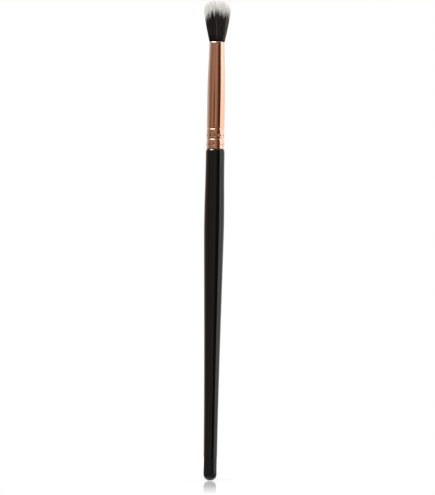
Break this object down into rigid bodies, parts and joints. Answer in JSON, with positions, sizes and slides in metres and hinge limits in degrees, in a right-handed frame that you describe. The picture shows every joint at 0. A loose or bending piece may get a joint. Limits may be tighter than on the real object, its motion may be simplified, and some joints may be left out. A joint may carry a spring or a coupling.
{
  "type": "eyeshadow brush",
  "caption": "Round fluffy blending brush for eyeshadow: domed two-tone bristles in a crimped rose-gold ferrule on a slim black lacquered handle.",
  "frame": {"origin": "lowest point of the handle's round end, on the brush's axis", "axes": "+Z along the brush's axis, from the handle's round end towards the bristles"},
  "size_m": [0.0102, 0.0102, 0.185],
  "materials": {
    "handle_lacquer": "turned wood under high-gloss black lacquer",
    "rose_gold_plate": "polished rose-gold plate on drawn brass tube",
    "bristle_fibre": "fine synthetic bristle, near black with off-white tips",
    "thread": "twisted polyester binding thread",
    "epoxy": "cast amber epoxy"
  },
  "bodies": {
    "root": {"handle": "handle_lacquer", "ferrule": "rose_gold_plate", "bristle_tuft": "bristle_fibre", "binding_thread": "thread", "root_glue": "epoxy", "tang_glue": "epoxy"}
  },
  "joints": []
}
